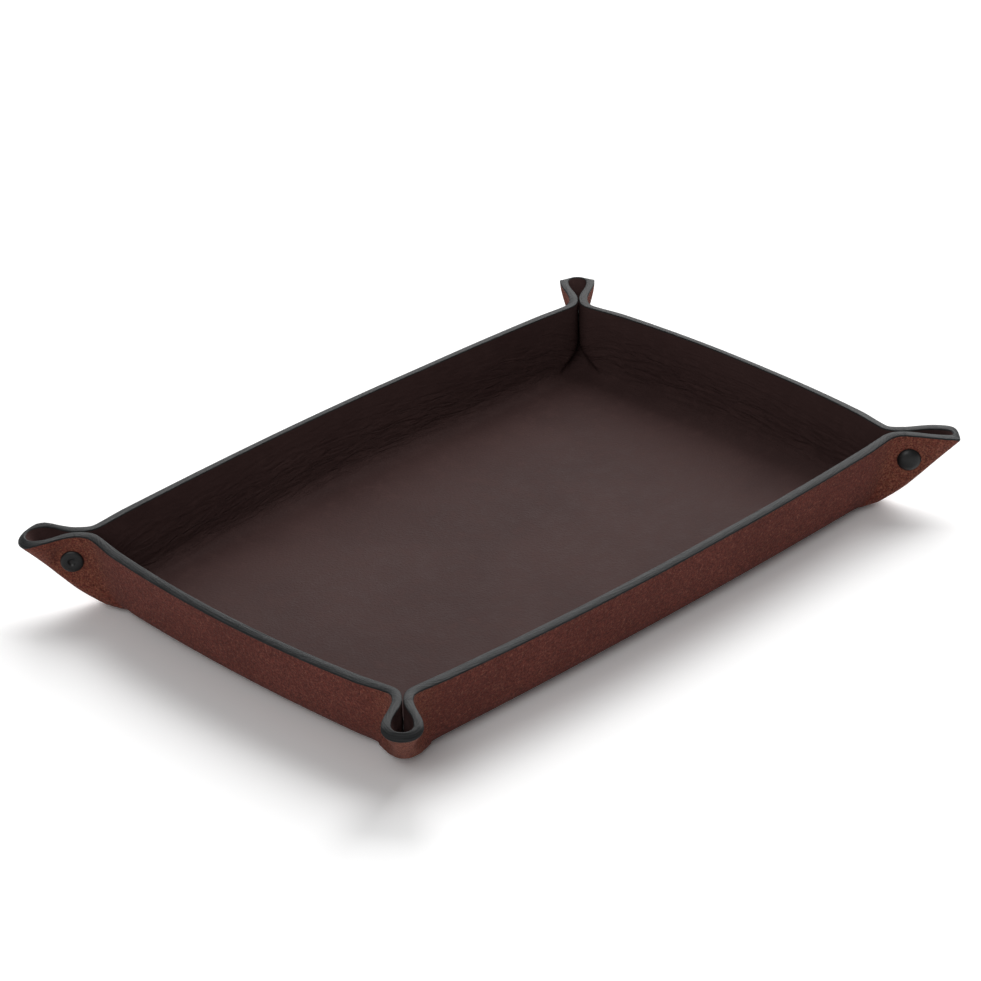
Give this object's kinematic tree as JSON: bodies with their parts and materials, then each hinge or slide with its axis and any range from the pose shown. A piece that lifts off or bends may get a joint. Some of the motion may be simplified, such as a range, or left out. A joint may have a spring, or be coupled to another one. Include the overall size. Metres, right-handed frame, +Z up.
{
  "type": "valet tray",
  "caption": "Shallow valet tray made of one thick leather sheet, its corners pinched into ears that press studs hold closed.",
  "frame": {"origin": "centre of the underside, where the tray rests", "axes": "+X along the tray's length, +Y across its width, +Z up out of the tray's mouth"},
  "size_m": [0.3442, 0.2352, 0.0345],
  "materials": {
    "leather": "dark brown, smooth grain inside, sueded flesh side outside",
    "snap_enamel": "black enamel, semi-gloss",
    "snap_metal": "black oxide, satin",
    "snap_spring_wire": "drawn spring wire"
  },
  "bodies": {
    "tray": {"leather_sheet": "leather", "snap_stud_front_left": "snap_metal", "snap_post_front_left": "snap_enamel", "snap_stud_front_right": "snap_metal", "snap_post_front_right": "snap_enamel", "snap_stud_rear_left": "snap_metal", "snap_post_rear_left": "snap_enamel", "snap_stud_rear_right": "snap_metal", "snap_post_rear_right": "snap_enamel"},
    "snap_half_front_left": {"snap_cap_front_left": "snap_enamel", "snap_socket_front_left": "snap_metal", "snap_spring_front_left": "snap_spring_wire"},
    "snap_half_front_right": {"snap_cap_front_right": "snap_enamel", "snap_socket_front_right": "snap_metal", "snap_spring_front_right": "snap_spring_wire"},
    "snap_half_rear_left": {"snap_cap_rear_left": "snap_enamel", "snap_socket_rear_left": "snap_metal", "snap_spring_rear_left": "snap_spring_wire"},
    "snap_half_rear_right": {"snap_cap_rear_right": "snap_enamel", "snap_socket_rear_right": "snap_metal", "snap_spring_rear_right": "snap_spring_wire"}
  },
  "joints": [
    {"name": "snap_open_front_left", "type": "slide", "parent": "tray", "child": "snap_half_front_left", "axis": [0.7071, -0.7071, 0], "range_m": [0, 0.0025], "deforming": ["leather_sheet", "snap_spring_front_left"]},
    {"name": "snap_open_front_right", "type": "slide", "parent": "tray", "child": "snap_half_front_right", "axis": [-0.7071, -0.7071, 0], "range_m": [0, 0.0025], "deforming": ["leather_sheet", "snap_spring_front_right"]},
    {"name": "snap_open_rear_left", "type": "slide", "parent": "tray", "child": "snap_half_rear_left", "axis": [0.7071, 0.7071, 0], "range_m": [0, 0.0025], "deforming": ["leather_sheet", "snap_spring_rear_left"]},
    {"name": "snap_open_rear_right", "type": "slide", "parent": "tray", "child": "snap_half_rear_right", "axis": [-0.7071, 0.7071, 0], "range_m": [0, 0.0025], "deforming": ["leather_sheet", "snap_spring_rear_right"]}
  ]
}
